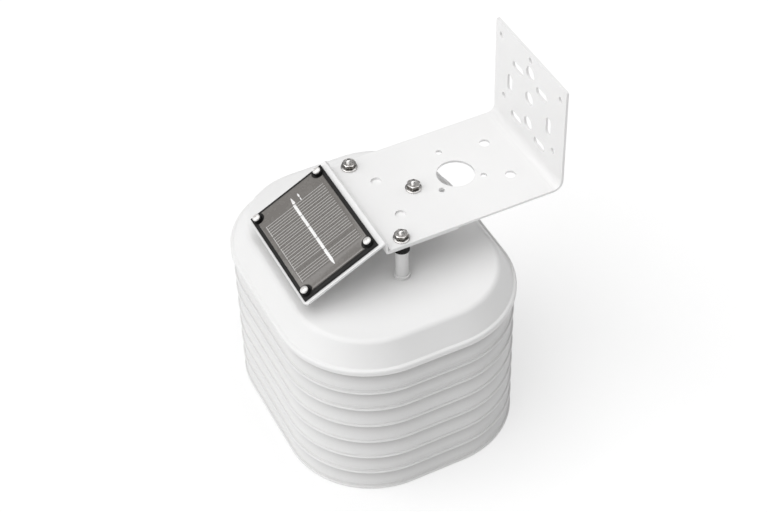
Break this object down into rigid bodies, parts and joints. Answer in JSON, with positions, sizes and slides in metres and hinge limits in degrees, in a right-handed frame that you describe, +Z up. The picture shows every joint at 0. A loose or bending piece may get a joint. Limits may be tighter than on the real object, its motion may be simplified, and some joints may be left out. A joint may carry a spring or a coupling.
{
  "type": "fan-aspirated radiation shield",
  "caption": "White louvred radiation shield hung from a slotted right-angle pole bracket, with a tilted solar panel and a small fan in its air duct.",
  "frame": {"origin": "centre of the four horizontal U-bolt slots, on the back face of the bracket's wall", "axes": "+Y points out of that back face at the pole, +Z up, +X to the right seen from the panel side; the solar panel faces -Y"},
  "size_m": [0.226, 0.2341, 0.2875],
  "materials": {
    "white_paint": "satin white powder coat on sheet metal",
    "white_plastic": "UV-stable white moulding, fine satin",
    "white_nylon": "satin white nylon",
    "black_board": "black circuit board",
    "laminate": "grey-brown resin encapsulant, glossy",
    "silicon": "solar cell under resin",
    "ribbon_metal": "tinned copper ribbon",
    "bright_steel": "nickel-plated steel",
    "stainless": "stainless steel",
    "black_rubber": "matt black rubber",
    "dark_plastic": "black glass-filled moulding",
    "green_board": "green circuit board",
    "filter_cap": "sintered white filter cap",
    "motor_can": "plated steel motor can"
  },
  "bodies": {
    "shield": {"mounting_bracket": "white_paint", "solar_bracket": "white_paint", "panel_backing": "black_board", "panel_laminate": "laminate", "solar_cells": "silicon", "busbar_ribbons": "ribbon_metal", "panel_spacers": "black_rubber", "panel_screws": "bright_steel", "panel_nuts": "bright_steel", "hanger_studs": "stainless", "top_nuts": "stainless", "top_washers": "stainless", "rubber_bushes": "black_rubber", "standoffs": "white_nylon", "cap": "white_plastic", "louvre_1": "white_plastic", "louvre_2": "white_plastic", "louvre_3": "white_plastic", "louvre_4": "white_plastic", "louvre_5": "white_plastic", "louvre_6": "white_plastic", "louvre_7": "white_plastic", "louvre_spacers": "white_nylon", "bottom_washers": "stainless", "bottom_nuts": "stainless", "aspiration_duct": "white_plastic", "radiation_hood": "white_plastic", "inner_sleeve": "white_plastic", "sensor_holder": "dark_plastic", "sensor_board": "green_board", "sensor_probe": "filter_cap", "motor_mount": "dark_plastic", "fan_motor": "motor_can", "air_guard": "dark_plastic", "guard_screws": "stainless", "lead_grommets": "black_rubber", "cable_gland": "dark_plastic"},
    "fan": {"fan_shaft": "stainless", "fan_impeller": "dark_plastic"}
  },
  "joints": [
    {"name": "fan_spin", "type": "hinge", "parent": "shield", "child": "fan", "pos_m": [0, -0.1381, -0.1853], "axis": [0, 0, 1], "continuous": true}
  ]
}
